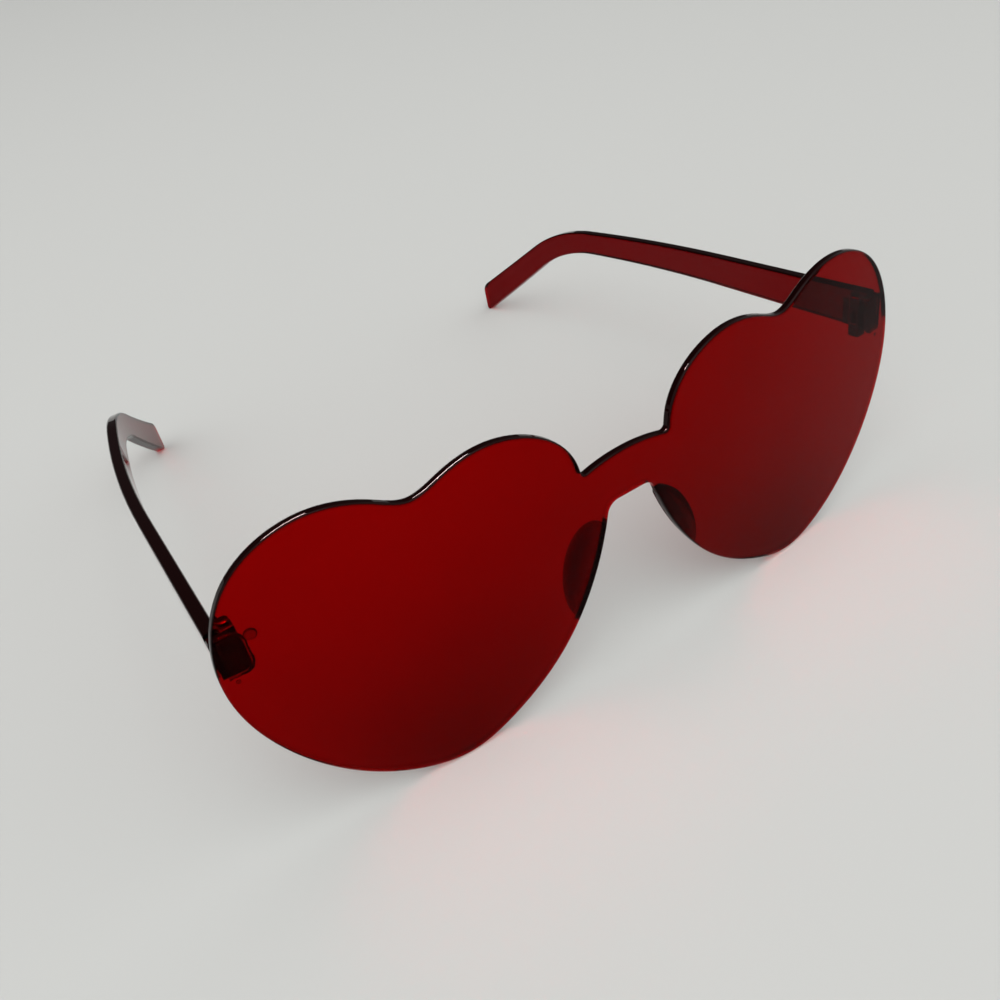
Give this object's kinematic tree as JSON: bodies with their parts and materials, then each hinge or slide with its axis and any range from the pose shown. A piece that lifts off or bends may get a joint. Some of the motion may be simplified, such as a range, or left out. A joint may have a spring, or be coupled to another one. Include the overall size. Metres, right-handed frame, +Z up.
{
  "type": "heart shaped sunglasses",
  "caption": "Rimless sunglasses whose curved transparent front is cut to joined hearts, with slim drop-end temples folding on small metal screw hinges.",
  "frame": {"origin": "bottom centre of the bounding box, on the surface that the heart tips and temple tips stand on", "axes": "+X to the wearer's left, +Y from the front towards the temple tips, +Z up from the surface"},
  "size_m": [0.1508, 0.1442, 0.0609],
  "materials": {
    "lens_red": "polished transparent deep red polycarbonate",
    "pad_red": "polished transparent deep red",
    "end_piece_red": "polished, reads nearly black where it is thick",
    "glue_clear": "cured clear glue",
    "temple_red": "polished transparent dark red",
    "hinge_metal": "stamped, black nickel plated",
    "screw_metal": "turned, black nickel plated"
  },
  "bodies": {
    "front": {"front_lens": "lens_red", "nose_pad_left": "pad_red", "nose_pad_right": "pad_red", "end_piece_left": "end_piece_red", "end_piece_right": "end_piece_red", "end_piece_glue_left": "glue_clear", "end_piece_glue_right": "glue_clear", "front_hinge_leaf_left": "hinge_metal", "front_hinge_leaf_right": "hinge_metal", "hinge_screw_left": "screw_metal", "hinge_screw_right": "screw_metal"},
    "left_arm": {"temple_left": "temple_red", "temple_hinge_leaf_left": "hinge_metal"},
    "right_arm": {"temple_right": "temple_red", "temple_hinge_leaf_right": "hinge_metal"}
  },
  "joints": [
    {"name": "left_temple_fold", "type": "hinge", "parent": "front", "child": "left_arm", "pos_m": [0.0708, -0.05815, 0.04049], "axis": [0, 0.113, 0.9936], "range_deg": [0, 85.5]},
    {"name": "right_temple_fold", "type": "hinge", "parent": "front", "child": "right_arm", "pos_m": [-0.0708, -0.05815, 0.04049], "axis": [0, -0.113, -0.9936], "range_deg": [0, 81.5]}
  ]
}
